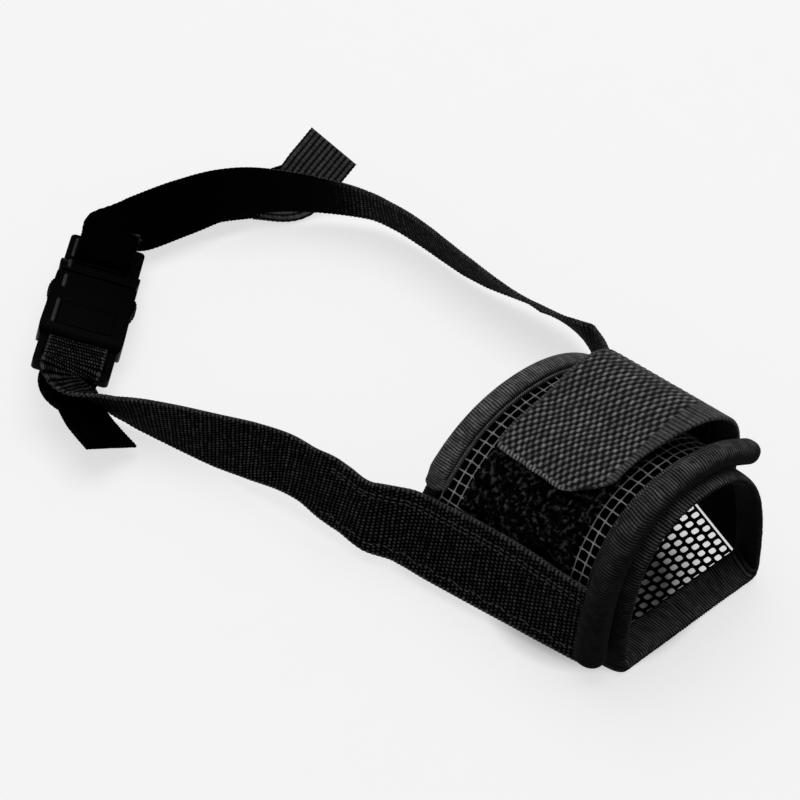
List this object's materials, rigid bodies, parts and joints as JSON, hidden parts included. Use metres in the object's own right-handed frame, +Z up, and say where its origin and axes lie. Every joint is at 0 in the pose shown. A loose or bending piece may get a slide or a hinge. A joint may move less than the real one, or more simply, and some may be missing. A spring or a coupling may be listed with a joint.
{
  "type": "soft dog muzzle",
  "caption": "Soft net and webbing dog muzzle: D-shaped nose tube with bound edges, hook-and-loop top flap, side webbing and a neck loop with side-release buckle.",
  "frame": {"origin": "the middle of the chin panel's flat underside, which the muzzle rests on", "axes": "+X points out of the dog's nose along the nose tube, +Y to the wearer's left, +Z up through the flap"},
  "size_m": [0.2647, 0.1648, 0.0682],
  "materials": {
    "net": "black polyester net with a square grid of fine threads",
    "chin_net": "open black airflow net",
    "binding_tape": "black ribbed binding tape folded over the edges",
    "loop_fleece": "brushed black loop tape",
    "hook_tape": "black hook tape",
    "flap_webbing": "coarse ribbed black nylon webbing",
    "webbing": "plain woven black nylon webbing with stitched edges",
    "buckle_plastic": "fine-textured black acetal"
  },
  "bodies": {
    "muzzle": {"chin_panel": "chin_net", "inner_net_panel": "net", "outer_net_panel": "net", "nose_ring_binding": "binding_tape", "rear_opening_binding": "binding_tape", "outer_front_binding": "binding_tape", "front_piping": "binding_tape", "outer_rear_binding": "binding_tape", "loop_patch": "loop_fleece", "side_webbing_right": "webbing", "side_webbing_left": "webbing", "strap_root_left": "webbing", "neck_strap_right": "webbing", "buckle_female": "buckle_plastic"},
    "flap": {"closure_flap": "flap_webbing", "hook_patch": "hook_tape"},
    "strap_left": {"neck_strap_left": "webbing", "buckle_male": "buckle_plastic"},
    "latch_outer": {"latch_arm_outer": "buckle_plastic"},
    "latch_inner": {"latch_arm_inner": "buckle_plastic"}
  },
  "joints": [
    {"name": "flap_lift", "type": "hinge", "parent": "muzzle", "child": "flap", "pos_m": [0.0005, 0.03358, 0.03252], "axis": [-0.996, 0.0759, -0.0477], "range_deg": [0, 75]},
    {"name": "strap_swing", "type": "hinge", "parent": "muzzle", "child": "strap_left", "pos_m": [-0.0575, 0.0558, 0.013], "axis": [0, 0, -1], "range_deg": [0, 32], "deforming": ["latch_arm_outer", "latch_arm_inner"]},
    {"name": "latch_outer_squeeze", "type": "hinge", "parent": "strap_left", "child": "latch_outer", "pos_m": [-0.19825, -0.05642, 0.01259], "axis": [0.1943, 0.171, 0.9659], "range_deg": [0, 8], "stiffness_Nm_per_rad": 0.05},
    {"name": "latch_inner_squeeze", "type": "hinge", "parent": "strap_left", "child": "latch_inner", "pos_m": [-0.18375, -0.04366, 0.00741], "axis": [-0.1943, -0.171, -0.9659], "range_deg": [0, 8], "stiffness_Nm_per_rad": 0.05}
  ]
}
